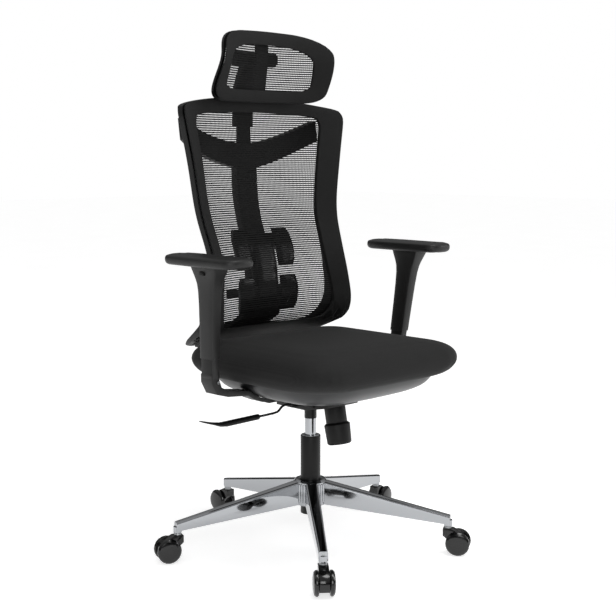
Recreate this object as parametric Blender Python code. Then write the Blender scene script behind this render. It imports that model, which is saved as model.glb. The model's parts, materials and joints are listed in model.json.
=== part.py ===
"""Swivel office chair with a mesh back, built from its separate pieces.

The gas lift stands on the chair's own Z axis, +Z is up and the sitter faces -Y.
Sizes are in metres, and angles are in radians unless a name says degrees.
Left and right are the sitter's: the right side is -X.
"""
import bpy
import bmesh
from math import cos, hypot, pi, radians, sin, sqrt
from mathutils import Matrix, Vector

# Place of the gas lift in the model: the middle of the whole chair is the origin.
# The drawing's heights are counted from a level that lies FLOOR below the floor.
FLOOR = 0.0148
COLUMN_PLACE = Vector((-0.0045, -0.0245, -FLOOR))

GAP = 0.0003          # between pieces that touch
FIT = 0.0005          # between pieces that slide or turn on each other

# Base star
LEG_COUNT = 5
FIRST_LEG_ANGLE = radians(-129.35)
STEM_CIRCLE_RADIUS = 0.333
HUB_RADIUS = 0.040
HUB_BOTTOM = 0.116
HUB_TOP = 0.175
LEG_TIP_TOP = 0.1065
LEG_TIP_BOTTOM = 0.086
LEG_ROOT_WIDTH = 0.030
LEG_TIP_WIDTH = 0.021
LEG_EDGE = 0.004
LEG_OVERHANG = 0.005  # past the caster stem
BOSS_RADIUS = 0.0100
BOSS_BOTTOM = 0.082

# Casters
STEM_RADIUS = 0.0055
STEM_TOP = 0.104
CASTER_TRAIL = 0.024
WHEEL_RADIUS = 0.0285
WHEEL_WIDTH = 0.0125
HOUSING_WIDTH = 0.0225
HOUSING_TOP = FLOOR + 0.0615
AXLE_RADIUS = 0.004

# Gas lift
TUBE_RADIUS = 0.0240
TUBE_WALL = 0.0018
TUBE_BOTTOM = 0.0915
TUBE_TOP = 0.2826
CYLINDER_RADIUS = 0.0135
CYLINDER_WALL = 0.0020
CYLINDER_BOTTOM = 0.142
ROD_RADIUS = 0.0050
PISTON_TOP = 0.235

# Mechanism under the seat
COLLAR_RADIUS = 0.0148
COLLAR_BOTTOM = 0.324
TRAY_BOTTOM = 0.354
TRAY_NOSE = 0.369     # underside at the front
TRAY_HALF_WIDTH = 0.050
TRAY_WALL = 0.004
TRAY_FRONT = -0.108
TRAY_REAR = 0.065
SOCKET_RADIUS = 0.021
SOCKET_TOP = 0.370
TILT_AXIS_Y = -0.050
TILT_AXIS_Z = 0.376
TILT_PIN_RADIUS = 0.006
PLATE_BOTTOM = 0.3915
PLATE_THICKNESS = 0.004
PLATE_HALF_WIDTH = 0.080
EAR_THICKNESS = 0.004
KNOB_AXIS_TOP = Vector((0, -0.0797, 0.3697))
KNOB_AXIS_LEAN = radians(11.4)
SPRING_CUP_RADIUS = 0.0250
SPRING_CUP_LENGTH = 0.0440
SPRING_WIRE_RADIUS = 0.0024
SPRING_TURNS = 3
KNOB_RADIUS = 0.0305
KNOB_LENGTH = 0.050
BOLT_RADIUS = 0.005

# Lever, on the sitter's right
LEVER_PIVOT = Vector((-(TRAY_HALF_WIDTH + 0.0095), 0, 0.367))
LEVER_ROD_RADIUS = 0.003
LEVER_REACH = 0.335

# Seat
SEAT_HALF_WIDTH = 0.2525
SEAT_FRONT = -0.283
SEAT_REAR = 0.187
SEAT_CORNER = 0.075
SHELL_BOTTOM = 0.3905
SHELL_RIM = 0.4395
SHELL_WALL = 0.0035
BOARD_TOP = 0.4385
BOARD_THICKNESS = 0.012
CUSHION_BOTTOM = 0.4400
CUSHION_TOP = 0.520

# Arms
ARM_HALF_SPACING = SEAT_HALF_WIDTH + 0.0575
ARM_Y = -0.004
SLEEVE_BOTTOM = 0.504
SLEEVE_TOP = 0.7085
SLEEVE_HALF_X = 0.0140
SLEEVE_HALF_Y = 0.0225
SLEEVE_WALL = 0.0025
ARM_LEAN_OUT = 0.0722     # sideways per metre of height
ARM_LEAN_FORWARD = 0.0983
POST_TOP = 0.615
PAD_HALF_WIDTH = 0.042
PAD_HALF_LENGTH = 0.119
PAD_HALF_SPACING = ARM_HALF_SPACING + 0.0140
PAD_MIDDLE_Y = -0.018
PAD_THICKNESS = 0.0235
BUTTON_Z = 0.695
BUTTON_TRAVEL = 0.003

# Back
MESH_THICKNESS = 0.0014
PANEL_GAP = 0.0025     # mesh to border and frame, measured front to back
STEEP_GAP = 0.0110     # the same where the back's face slopes, at its foot
BORDER_WIDTH_LOW = 0.0375
BORDER_WIDTH_HIGH = 0.050
BORDER_DEPTH = 0.010
BACK_BOTTOM = 0.487
BACK_TOP = 1.087
BACK_CROWN = 0.029
SPINE_DEPTH = 0.021
CROSSBAR_REACH = 0.212
BAR_THICKNESS = 0.006
BAR_HALF_WIDTH = 0.030
LUMBAR_THICKNESS = 0.008
LUMBAR_REACH = 0.095

# Headrest
HEADREST_BOTTOM = 1.0725
HEADREST_TOP = 1.2400
HEADREST_HALF_WIDTH = 0.1735
HEADREST_BORDER = 0.043
HEADREST_BORDER_DEPTH = 0.007
HINGE_Y = 0.1975
HINGE_Z = 1.177
HINGE_RADIUS = 0.0180
HINGE_HALF_LENGTH = 0.064
POST_HALF_WIDTH = 0.030
TONGUE_HALF_WIDTH = 0.020
TONGUE_THICKNESS = 0.008
TONGUE_Y = 0.2385


def clear_scene():
    """Empty the scene and the data of the objects in it."""
    for obj in list(bpy.data.objects):
        bpy.data.objects.remove(obj, do_unlink=True)


# ---------------------------------------------------------------- shape tools

def along(stations, position):
    """Smooth value at a position, from stations of (position, value)."""
    if position <= stations[0][0]:
        return stations[0][1]
    if position >= stations[-1][0]:
        return stations[-1][1]
    for i in range(len(stations) - 1):
        if position <= stations[i + 1][0]:
            break
    def slope(k):
        before = stations[max(k - 1, 0)]
        after = stations[min(k + 1, len(stations) - 1)]
        return (after[1] - before[1]) / (after[0] - before[0])
    (p0, v0), (p1, v1) = stations[i], stations[i + 1]
    span = p1 - p0
    t = (position - p0) / span
    blend = t * t * (3 - 2 * t)
    return (v0 * (1 - blend) + v1 * blend + slope(i) * span * t * (1 - t) ** 2
            - slope(i + 1) * span * t * t * (1 - t))


def steps(low, high, count):
    """Evenly spaced values, both ends included."""
    return [low + (high - low) * i / count for i in range(count + 1)]


def loft(rings, around=False):
    """Skin closed rings of points one after another; the ends are capped unless it runs around."""
    bm = bmesh.new()
    loops = [[bm.verts.new(point) for point in ring] for ring in rings]
    pairs = list(zip(loops, loops[1:] + loops[:1]))
    if not around:
        pairs.pop()
        bm.faces.new(loops[0])
        bm.faces.new(loops[-1])
    for near, far in pairs:
        for i in range(len(near)):
            j = (i + 1) % len(near)
            bm.faces.new((near[i], near[j], far[j], far[i]))
    return bm


def circle(radius, sides, z=0.0):
    """Points of a circle about the Z axis."""
    return [Vector((radius * cos(2 * pi * i / sides), radius * sin(2 * pi * i / sides), z))
            for i in range(sides)]


def turned(profile, sides, around=False):
    """Solid turned about Z from points of (radius, z); around closes the profile on itself."""
    return loft([circle(radius, sides, z) for radius, z in profile], around)


def box(low, high):
    """Box between two corners."""
    (x0, y0, z0), (x1, y1, z1) = low, high
    return loft([[Vector((x0, y0, z)), Vector((x1, y0, z)), Vector((x1, y1, z)), Vector((x0, y1, z))]
                 for z in (z0, z1)])


def rounded_rectangle(half_x, half_y, radius, corner_steps=4):
    """Outline points (x, y) of a rectangle with round corners."""
    points = []
    for quarter in range(4):
        middle_x = (half_x - radius) * (1 if quarter in (0, 3) else -1)
        middle_y = (half_y - radius) * (1 if quarter in (0, 1) else -1)
        for turn in steps(quarter * pi / 2, (quarter + 1) * pi / 2, corner_steps):
            points.append((middle_x + radius * cos(turn), middle_y + radius * sin(turn)))
    return points


def slab(rows):
    """Plate from rows of (front, rear) point pairs, closed along its four sides."""
    bm = bmesh.new()
    fronts = [[bm.verts.new(pair[0]) for pair in row] for row in rows]
    rears = [[bm.verts.new(pair[1]) for pair in row] for row in rows]
    last_row, last = len(rows) - 1, len(rows[0]) - 1
    for i in range(last_row):
        for j in range(last):
            bm.faces.new((fronts[i][j], fronts[i][j + 1], fronts[i + 1][j + 1], fronts[i + 1][j]))
            bm.faces.new((rears[i][j], rears[i + 1][j], rears[i + 1][j + 1], rears[i][j + 1]))
        for j in (0, last):
            bm.faces.new((fronts[i][j], fronts[i + 1][j], rears[i + 1][j], rears[i][j]))
    for j in range(last):
        for i in (0, last_row):
            bm.faces.new((fronts[i][j], rears[i][j], rears[i][j + 1], fronts[i][j + 1]))
    return bm


def joined(*meshes):
    """One mesh of several that stay apart from each other."""
    whole = bmesh.new()
    for bm in meshes:
        data = bpy.data.meshes.new("piece")
        bm.to_mesh(data)
        bm.free()
        whole.from_mesh(data)
        bpy.data.meshes.remove(data)
    return whole


def moved(bm, matrix):
    """The same mesh, moved by a matrix."""
    bm.transform(matrix)
    return bm


def about_x(bm, place):
    """Turn a solid made about Z so that its axis is +X, at a place."""
    return moved(bm, Matrix.Translation(place) @ Matrix.Rotation(pi / 2, 4, "Y"))


def tangent_of(path, point):
    """Direction of a path at one of its points."""
    i = path.index(point)
    return (path[min(i + 1, len(path) - 1)] - path[max(i - 1, 0)]).normalized()


def flat_bar(path, thickness, half_width, side):
    """Bar of flat stock bent along a path; side is the direction of its width."""
    rings = []
    across = Vector(side).normalized() * half_width
    thicknesses = thickness if isinstance(thickness, list) else [thickness] * len(path)
    for point, thick in zip(path, thicknesses):
        depth = Vector(side).cross(tangent_of(path, point)).normalized() * thick / 2
        rings.append([point - across - depth, point + across - depth,
                      point + across + depth, point - across + depth])
    return loft(rings)


# --------------------------------------------------------------- object tools

MATERIALS = {
    "chrome": ((0.80, 0.81, 0.82), 0.06, 1.0),
    "black_steel": ((0.012, 0.012, 0.013), 0.35, 0.0),
    "bare_steel": ((0.45, 0.45, 0.46), 0.35, 1.0),
    "black_plastic": ((0.020, 0.020, 0.021), 0.45, 0.0),
    "gloss_black": ((0.008, 0.008, 0.009), 0.18, 0.0),
    "grey_plastic": ((0.055, 0.055, 0.057), 0.50, 0.0),
    "soft_black": ((0.025, 0.025, 0.026), 0.60, 0.0),
    "black_fabric": ((0.012, 0.012, 0.013), 0.90, 0.0),
    "mesh_fabric": ((0.010, 0.010, 0.011), 0.85, 0.0),
    "plywood": ((0.45, 0.30, 0.16), 0.70, 0.0),
}

EMPTY_PLACES = {}


def material(name):
    """Principled material by name, made once."""
    found = bpy.data.materials.get(name)
    if found:
        return found
    colour, roughness, metallic = MATERIALS[name]
    made = bpy.data.materials.new(name)
    made.use_nodes = True
    shader = made.node_tree.nodes["Principled BSDF"]
    shader.inputs["Base Color"].default_value = (*colour, 1)
    shader.inputs["Roughness"].default_value = roughness
    shader.inputs["Metallic"].default_value = metallic
    made.diffuse_color = (*colour, 1)
    return made


def empty(name, place, parent=None):
    """Empty at a joint, placed in the chair's axes."""
    place = Vector(place)
    obj = bpy.data.objects.new(name, None)
    bpy.context.collection.objects.link(obj)
    obj.parent = parent
    obj.location = place - EMPTY_PLACES[parent.name] if parent else COLUMN_PLACE
    EMPTY_PLACES[name] = place
    return obj


def add(name, bm, slot, parent):
    """Object from a mesh drawn in the chair's axes, hung on a joint's empty."""
    bmesh.ops.recalc_face_normals(bm, faces=bm.faces)
    bm.transform(Matrix.Translation(-EMPTY_PLACES[parent.name]))
    data = bpy.data.meshes.new(name)
    bm.to_mesh(data)
    bm.free()
    data.shade_smooth()
    data.set_sharp_from_angle(angle=radians(35))
    data.materials.append(material(slot))
    obj = bpy.data.objects.new(name, data)
    bpy.context.collection.objects.link(obj)
    obj.parent = parent
    return obj


def boolean(obj, operation, bm, parent):
    """Join a shape to an object or cut it away with a hidden guide."""
    guide = add(obj.name + "_" + operation.lower(), bm, "bare_steel", parent)
    guide.hide_render = True
    guide.display_type = "WIRE"
    modifier = obj.modifiers.new(guide.name, "BOOLEAN")
    modifier.operation = operation
    modifier.object = guide


# ----------------------------------------------------------- base and casters

def leg_angles():
    """Direction of each leg, seen from above."""
    return [FIRST_LEG_ANGLE + 2 * pi * i / LEG_COUNT for i in range(LEG_COUNT)]


def leg_ring(distance, share):
    """Cross-section of a leg; share runs from 0 at the hub to 1 at the tip."""
    half = (LEG_ROOT_WIDTH + (LEG_TIP_WIDTH - LEG_ROOT_WIDTH) * share) / 2
    top = HUB_TOP - 0.002 + (LEG_TIP_TOP - HUB_TOP + 0.002) * share
    bottom = HUB_BOTTOM + 0.001 + (LEG_TIP_BOTTOM - HUB_BOTTOM - 0.001) * share
    edge = LEG_EDGE
    outline = [(-half, bottom), (half, bottom), (half, top - edge), (half - edge * 0.35, top - edge * 0.35),
               (half - edge, top), (edge - half, top), (edge * 0.35 - half, top - edge * 0.35),
               (-half, top - edge)]
    return [Vector((distance, across, z)) for across, z in outline]


def base_star(parent):
    """Five cast legs on a hub, with a socket for each caster stem."""
    seat_radius = TUBE_RADIUS + GAP
    hub = turned([(HUB_RADIUS, HUB_BOTTOM), (HUB_RADIUS, HUB_TOP - 0.004), (HUB_RADIUS - 0.004, HUB_TOP),
                  (seat_radius, HUB_TOP), (seat_radius, HUB_BOTTOM)], 30, around=True)
    legs, bosses, bores = [], [], []
    inner, outer = HUB_RADIUS - 0.010, STEM_CIRCLE_RADIUS + LEG_OVERHANG
    for angle in leg_angles():
        turn = Matrix.Rotation(angle, 4, "Z")
        at_stem = turn @ Matrix.Translation((STEM_CIRCLE_RADIUS, 0, 0))
        legs.append(moved(loft([leg_ring(inner, 0), leg_ring(outer - 0.003, 0.99), leg_ring(outer, 1)]), turn))
        bosses.append(moved(turned([(BOSS_RADIUS, BOSS_BOTTOM), (BOSS_RADIUS, LEG_TIP_BOTTOM + 0.010)], 14),
                            at_stem))
        bores.append(moved(turned([(STEM_RADIUS + GAP, BOSS_BOTTOM - 0.01), (STEM_RADIUS + GAP, STEM_TOP + GAP)],
                                  12), at_stem))
    star = add("base_star", hub, "chrome", parent)
    boolean(star, "UNION", joined(*legs), parent)
    boolean(star, "UNION", joined(*bosses), parent)
    boolean(star, "DIFFERENCE", joined(*bores), parent)


def caster_housing():
    """Hood between the two wheels with its axle, drawn with the stem on Z and the axle along Y."""
    axle_x, axle_z = CASTER_TRAIL, FLOOR + WHEEL_RADIUS
    outline = [(-0.0115, FLOOR + 0.045), (-0.0115, HOUSING_TOP), (0.0115, HOUSING_TOP)]
    for degrees in (65, 45, 20, -10, -40, -70, -100, -130, -160):
        radius = 0.0235 if degrees > -60 else 0.0120
        outline.append((axle_x + radius * cos(radians(degrees)), axle_z + radius * sin(radians(degrees))))
    half = HOUSING_WIDTH / 2
    return loft([[Vector((x, y, z)) for x, z in outline] for y in (-half, half)])


def caster(index, angle, swivel):
    """One twin-wheel caster: stem, housing with axle, and two wheels on their own axis."""
    frame = Matrix.Rotation(angle, 4, "Z") @ Matrix.Translation((STEM_CIRCLE_RADIUS, 0, 0))
    stem_low, ring = HOUSING_TOP - 0.016, HOUSING_TOP + 0.0006
    stem = turned([(STEM_RADIUS, stem_low), (STEM_RADIUS, ring), (STEM_RADIUS + 0.003, ring),
                   (STEM_RADIUS + 0.003, ring + 0.003), (STEM_RADIUS, ring + 0.003), (STEM_RADIUS, STEM_TOP)], 12)
    add(f"caster_stem_{index}", moved(stem, frame), "bare_steel", swivel)
    housing = add(f"caster_housing_{index}", moved(caster_housing(), frame), "gloss_black", swivel)
    half_axle = HOUSING_WIDTH / 2 + WHEEL_WIDTH * 0.6
    to_axle = frame @ Matrix.Translation((CASTER_TRAIL, 0, FLOOR + WHEEL_RADIUS)) @ Matrix.Rotation(pi / 2, 4, "X")
    axle = turned([(AXLE_RADIUS, -half_axle), (AXLE_RADIUS, half_axle)], 10)
    boolean(housing, "UNION", moved(axle, to_axle), swivel)
    bore = turned([(STEM_RADIUS + GAP, stem_low - GAP), (STEM_RADIUS + GAP, HOUSING_TOP + 0.01)], 12)
    boolean(housing, "DIFFERENCE", moved(bore, frame), swivel)
    spin = empty(f"caster_axle_{index}", to_axle.translation, swivel)
    inner = HOUSING_WIDTH / 2 + FIT
    outer = inner + WHEEL_WIDTH
    bore_radius = AXLE_RADIUS + GAP
    bore_end = half_axle + GAP
    for side, sign in (("left", 1), ("right", -1)):
        profile = [(bore_radius, bore_end), (bore_radius, inner), (WHEEL_RADIUS - 0.003, inner),
                   (WHEEL_RADIUS, inner + 0.0025), (WHEEL_RADIUS, outer - 0.0060),
                   (WHEEL_RADIUS - 0.0035, outer - 0.0020), (WHEEL_RADIUS - 0.0120, outer)]
        wheel = turned([(radius, -sign * reach) for radius, reach in profile], 20)
        add(f"caster_wheel_{index}_{side}", moved(wheel, to_axle), "gloss_black", spin)


# -------------------------------------------------------------------- gas lift

def gas_lift(base, lift):
    """Outer tube with its bush, rod and foot clip, and the cylinder that rises out of it."""
    inside = TUBE_RADIUS - TUBE_WALL
    add("gas_tube", turned([(TUBE_RADIUS, TUBE_BOTTOM), (TUBE_RADIUS, TUBE_TOP - 0.001),
                            (TUBE_RADIUS - 0.001, TUBE_TOP), (inside, TUBE_TOP), (inside, TUBE_BOTTOM)],
                           24, around=True), "black_steel", base)
    clip_top = TUBE_BOTTOM + 0.0055
    add("tube_foot_clip", turned([(ROD_RADIUS + GAP, TUBE_BOTTOM + 0.0005), (inside - GAP, TUBE_BOTTOM + 0.0005),
                                  (inside - GAP, clip_top), (ROD_RADIUS + GAP, clip_top)],
                                 24, around=True), "bare_steel", base)
    bush_inside = CYLINDER_RADIUS + FIT
    add("guide_bush", turned([(inside - GAP, 0.205), (inside - GAP, TUBE_TOP + 0.0008),
                              (bush_inside, TUBE_TOP + 0.0008), (bush_inside, 0.205)],
                             24, around=True), "grey_plastic", base)
    piston = CYLINDER_RADIUS - CYLINDER_WALL - FIT
    add("gas_rod", turned([(ROD_RADIUS, TUBE_BOTTOM + 0.0005), (ROD_RADIUS, PISTON_TOP - 0.012),
                           (piston, PISTON_TOP - 0.012), (piston, PISTON_TOP)], 20), "bare_steel", base)
    bore = CYLINDER_RADIUS - CYLINDER_WALL
    gland = ROD_RADIUS + FIT
    top = SOCKET_TOP - 0.004
    profile = [(bore, top - 0.008), (bore, CYLINDER_BOTTOM + 0.008), (gland, CYLINDER_BOTTOM + 0.008),
               (gland, CYLINDER_BOTTOM), (CYLINDER_RADIUS, CYLINDER_BOTTOM),
               (CYLINDER_RADIUS, top - 0.001), (CYLINDER_RADIUS - 0.001, top)]
    add("gas_cylinder", turned(profile, 24), "chrome", lift)


# ------------------------------------------------------------------- mechanism

def knob_axis():
    """Matrix whose Z runs up the knob's leaning axis from the top of the spring cup."""
    return Matrix.Translation(KNOB_AXIS_TOP) @ Matrix.Rotation(-KNOB_AXIS_LEAN, 4, "X")


def tray_outline(wall):
    """Side view of the tray as (y, z); its open top falls away behind the tilt pin."""
    top = TILT_AXIS_Z + 0.010 + wall * 2
    return [(TRAY_FRONT + wall, TRAY_NOSE + wall), (TILT_AXIS_Y + 0.015, TRAY_BOTTOM + wall),
            (TRAY_REAR - wall, TRAY_BOTTOM + wall), (TRAY_REAR - wall, 0.361 + wall * 5),
            (TILT_AXIS_Y + 0.010, top), (TRAY_FRONT + wall, top)]


def mechanism(parent, seat):
    """Cast tray with the socket for the gas cylinder, and the parts it carries."""
    half = TRAY_HALF_WIDTH
    body = loft([[Vector((x, y, z)) for y, z in tray_outline(0)] for x in (-half, half)])
    tray = add("mechanism_body", body, "black_steel", parent)
    hollow_half = half - TRAY_WALL
    hollow = loft([[Vector((x, y, z)) for y, z in tray_outline(TRAY_WALL)] for x in (-hollow_half, hollow_half)])
    boolean(tray, "DIFFERENCE", hollow, parent)
    socket = turned([(COLLAR_RADIUS, COLLAR_BOTTOM), (COLLAR_RADIUS, TRAY_BOTTOM - 0.004),
                     (SOCKET_RADIUS, TRAY_BOTTOM), (SOCKET_RADIUS, SOCKET_TOP)], 20)
    boolean(tray, "UNION", socket, parent)
    bore = turned([(CYLINDER_RADIUS + GAP, COLLAR_BOTTOM - 0.01), (CYLINDER_RADIUS + GAP, SOCKET_TOP - 0.0035)], 20)
    pocket = turned([(SPRING_CUP_RADIUS + GAP, -0.06), (SPRING_CUP_RADIUS + GAP, 0.0015)], 24)
    pin_bore = turned([(TILT_PIN_RADIUS + GAP, -0.1), (TILT_PIN_RADIUS + GAP, 0.1)], 12)
    cutters = joined(bore, moved(pocket, knob_axis()), about_x(pin_bore, (0, TILT_AXIS_Y, TILT_AXIS_Z)))
    boolean(tray, "DIFFERENCE", cutters, parent)
    pin_half = TRAY_HALF_WIDTH + EAR_THICKNESS + 0.003
    pin = turned([(TILT_PIN_RADIUS, -pin_half), (TILT_PIN_RADIUS, pin_half)], 12)
    add("tilt_pin", about_x(pin, (0, TILT_AXIS_Y, TILT_AXIS_Z)), "bare_steel", parent)
    seat_plate(seat)


def seat_plate(parent):
    """Steel plate that tilts with the seat, with an ear on each side for the pin."""
    top = PLATE_BOTTOM + PLATE_THICKNESS
    plate = box((-PLATE_HALF_WIDTH, TRAY_FRONT, PLATE_BOTTOM), (PLATE_HALF_WIDTH, TRAY_REAR, top))
    obj = add("seat_plate", plate, "black_steel", parent)
    ears = []
    near = TRAY_HALF_WIDTH + FIT
    for sign in (-1, 1):
        x0, x1 = sorted((sign * near, sign * (near + EAR_THICKNESS)))
        ears.append(box((x0, TILT_AXIS_Y - 0.014, TILT_AXIS_Z - 0.012),
                        (x1, TILT_AXIS_Y + 0.014, PLATE_BOTTOM + PLATE_THICKNESS / 2)))
    boolean(obj, "UNION", joined(*ears), parent)
    bore = turned([(TILT_PIN_RADIUS + GAP, -0.1), (TILT_PIN_RADIUS + GAP, 0.1)], 12)
    boolean(obj, "DIFFERENCE", about_x(bore, (0, TILT_AXIS_Y, TILT_AXIS_Z)), parent)


def tension_spring():
    """Coil spring in the cup, as a tube swept along a helix."""
    coil_radius = SPRING_CUP_RADIUS - 0.0025 - FIT - SPRING_WIRE_RADIUS
    low, high = -SPRING_CUP_LENGTH + 0.0035 + SPRING_WIRE_RADIUS, -SPRING_WIRE_RADIUS
    per_turn, rings = 12, []
    for i in range(SPRING_TURNS * per_turn + 1):
        share = i / (SPRING_TURNS * per_turn)
        turn = 2 * pi * SPRING_TURNS * share
        outward = Vector((cos(turn), sin(turn), 0))
        centre = outward * coil_radius + Vector((0, 0, low + (high - low) * share))
        rings.append([centre + outward * SPRING_WIRE_RADIUS * cos(2 * pi * k / 6)
                      + Vector((0, 0, SPRING_WIRE_RADIUS * sin(2 * pi * k / 6))) for k in range(6)])
    return loft(rings)


def tension_control(parent, knob):
    """Spring cup and spring on the mechanism, bolt and knob that turn below it."""
    wall = 0.0025
    bolt_hole = BOLT_RADIUS + FIT
    cup = turned([(SPRING_CUP_RADIUS, 0), (SPRING_CUP_RADIUS - wall, 0),
                  (SPRING_CUP_RADIUS - wall, -SPRING_CUP_LENGTH + wall), (bolt_hole, -SPRING_CUP_LENGTH + wall),
                  (bolt_hole, -SPRING_CUP_LENGTH), (SPRING_CUP_RADIUS, -SPRING_CUP_LENGTH)], 24, around=True)
    add("spring_cup", moved(cup, knob_axis()), "black_plastic", parent)
    add("tension_spring", moved(tension_spring(), knob_axis()), "bare_steel", parent)
    knob_top = -SPRING_CUP_LENGTH - FIT
    bolt_low = knob_top - 0.030
    bolt = turned([(BOLT_RADIUS, bolt_low), (BOLT_RADIUS, 0.010), (BOLT_RADIUS + 0.003, 0.010),
                   (BOLT_RADIUS + 0.003, 0.015)], 12)
    add("tension_bolt", moved(bolt, knob_axis()), "bare_steel", knob)
    hole = BOLT_RADIUS + GAP
    knob_bottom = knob_top - KNOB_LENGTH
    body = turned([(hole, bolt_low - GAP), (hole, knob_top), (KNOB_RADIUS - 0.004, knob_top),
                   (KNOB_RADIUS, knob_top - 0.004), (KNOB_RADIUS - 0.002, knob_bottom + 0.003),
                   (KNOB_RADIUS - 0.005, knob_bottom)], 24)
    add("tension_knob", moved(body, knob_axis()), "black_plastic", knob)


# ----------------------------------------------------------------------- lever

def lever_rings(points, radius, sides=10):
    """Round rings along points in the X-Z plane."""
    rings = []
    for point in points:
        across = Vector((0, 1, 0))
        upright = tangent_of(points, point).cross(across)
        rings.append([point + across * radius * cos(2 * pi * k / sides)
                      + upright * radius * sin(2 * pi * k / sides) for k in range(sides)])
    return rings


def lever(rocker, handle):
    """Rocker on the tray's side, the bent rod that slides in it, and the grip with its paddle."""
    y0, z0 = LEVER_PIVOT.y, LEVER_PIVOT.z
    block = box((LEVER_PIVOT.x - 0.008, y0 - 0.009, z0 - 0.008), (LEVER_PIVOT.x + 0.008, y0 + 0.009, z0 + 0.008))
    obj = add("lever_rocker", block, "black_steel", rocker)
    bore = turned([(LEVER_ROD_RADIUS + GAP, -0.02), (LEVER_ROD_RADIUS + GAP, 0.02)], 10)
    boolean(obj, "DIFFERENCE", about_x(bore, LEVER_PIVOT), rocker)
    bend = [(LEVER_PIVOT.x + 0.0075, 0.367), (LEVER_PIVOT.x - 0.0285, 0.367), (LEVER_PIVOT.x - 0.0345, 0.364),
            (LEVER_PIVOT.x - 0.0435, 0.355), (LEVER_PIVOT.x - 0.0505, 0.352), (-0.176, 0.3515)]
    rod = [Vector((x, y0, z)) for x, z in bend]
    add("lever_rod", loft(lever_rings(rod, LEVER_ROD_RADIUS)), "black_steel", handle)
    # The grip is oval, and its end widens and thins into a paddle that turns up.
    stations = [(0.166, 0.3515, 0.0060, 0.0060), (0.168, 0.3515, 0.0070, 0.0066), (0.262, 0.3500, 0.0075, 0.0066),
                (0.280, 0.3510, 0.0095, 0.0050), (0.300, 0.3560, 0.0120, 0.0030), (0.326, 0.3635, 0.0120, 0.0020),
                (LEVER_REACH, 0.3665, 0.0080, 0.0015)]
    rings = [[Vector((-x, y0 + half_y * cos(2 * pi * k / 12), z + half_z * sin(2 * pi * k / 12)))
              for k in range(12)] for x, z, half_y, half_z in stations]
    grip = add("lever_grip", loft(rings), "black_plastic", handle)
    hole = turned([(LEVER_ROD_RADIUS + GAP, -0.0115), (LEVER_ROD_RADIUS + GAP, 0.02)], 10)
    boolean(grip, "DIFFERENCE", about_x(hole, (-0.165, y0, 0.3515)), handle)


# ------------------------------------------------------------------------ seat

SHELL_SIDE = [(0.034, SHELL_RIM), (0.037, 0.431), (0.046, 0.4195), (0.062, 0.4085), (0.084, 0.3985),
              (0.108, 0.3925), (0.128, SHELL_BOTTOM)]
SHELL_ROUNDER = 0.045  # the shell's corners are this much rounder than the cushion's
PLATE_MARGIN = 0.0015  # between the plate and the shell's opening for it


def seat_ring(inset, z, rounder=0.0):
    """Outline of the seat, drawn in by an inset, at a height; its corners may be made rounder."""
    half_y = (SEAT_REAR - SEAT_FRONT) / 2
    middle_y = (SEAT_REAR + SEAT_FRONT) / 2
    radius = max(SEAT_CORNER - inset, 0.012) + inset * 0.35 + rounder
    outline = rounded_rectangle(SEAT_HALF_WIDTH - inset, half_y - inset, radius, 4)
    return [Vector((x, y + middle_y, z)) for x, y in outline]


def seat(parent):
    """Moulded shell, board and cushion."""
    outside = [seat_ring(inset, z, SHELL_ROUNDER) for inset, z in SHELL_SIDE]
    inside = [seat_ring(inset + SHELL_WALL, z + SHELL_WALL * (0 if z == SHELL_RIM else 0.9), SHELL_ROUNDER)
              for inset, z in SHELL_SIDE]
    shell = add("seat_shell", loft(list(reversed(inside)) + outside), "grey_plastic", parent)
    board_bottom = BOARD_TOP - BOARD_THICKNESS
    posts = [moved(turned([(0.010, SHELL_BOTTOM + 0.001), (0.010, board_bottom - GAP)], 12),
                   Matrix.Translation((x, y, 0))) for x in (-0.098, 0.098) for y in (-0.125, 0.030)]
    boolean(shell, "UNION", joined(*posts), parent)
    half_x = PLATE_HALF_WIDTH + PLATE_MARGIN
    plate_hole = box((-half_x, TRAY_FRONT - PLATE_MARGIN, SHELL_BOTTOM - 0.010),
                     (half_x, TRAY_REAR + PLATE_MARGIN, 0.4050))
    boolean(shell, "DIFFERENCE", plate_hole, parent)
    half_x = BAR_HALF_WIDTH + PLATE_MARGIN
    bar_slot = box((-half_x, TRAY_REAR - 0.005, SHELL_BOTTOM - 0.010), (half_x, 0.118, 0.3968))
    boolean(shell, "DIFFERENCE", bar_slot, parent)
    add("seat_board", loft([seat_ring(0.050, z, SHELL_ROUNDER) for z in (board_bottom, BOARD_TOP)]), "plywood", parent)
    cushion = [(0.028, CUSHION_BOTTOM, 0.060), (0.014, 0.4425, 0.045), (0.005, 0.4510, 0.027), (0, 0.4640, 0.008),
               (0, 0.4780, 0), (0.005, 0.4920, 0), (0.017, 0.5035, 0), (0.038, 0.5115, 0), (0.075, 0.5180, 0),
               (0.110, CUSHION_TOP, 0)]
    rings = [seat_ring(inset, z, rounder) for inset, z, rounder in cushion]
    add("seat_cushion", loft(rings), "black_fabric", parent)


# ------------------------------------------------------------------------ arms

def arm_centre(side, z):
    """Middle of an arm's leaning upright at a height."""
    rise = z - SLEEVE_BOTTOM
    return Vector((side * (ARM_HALF_SPACING + ARM_LEAN_OUT * rise), ARM_Y - ARM_LEAN_FORWARD * rise, z))


def arm_ring(side, z, half_x, half_y, radius):
    """Level cross-section of an arm's upright."""
    centre = arm_centre(side, z)
    return [centre + Vector((x, y, 0)) for x, y in rounded_rectangle(half_x, half_y, radius, 2)]


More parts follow.
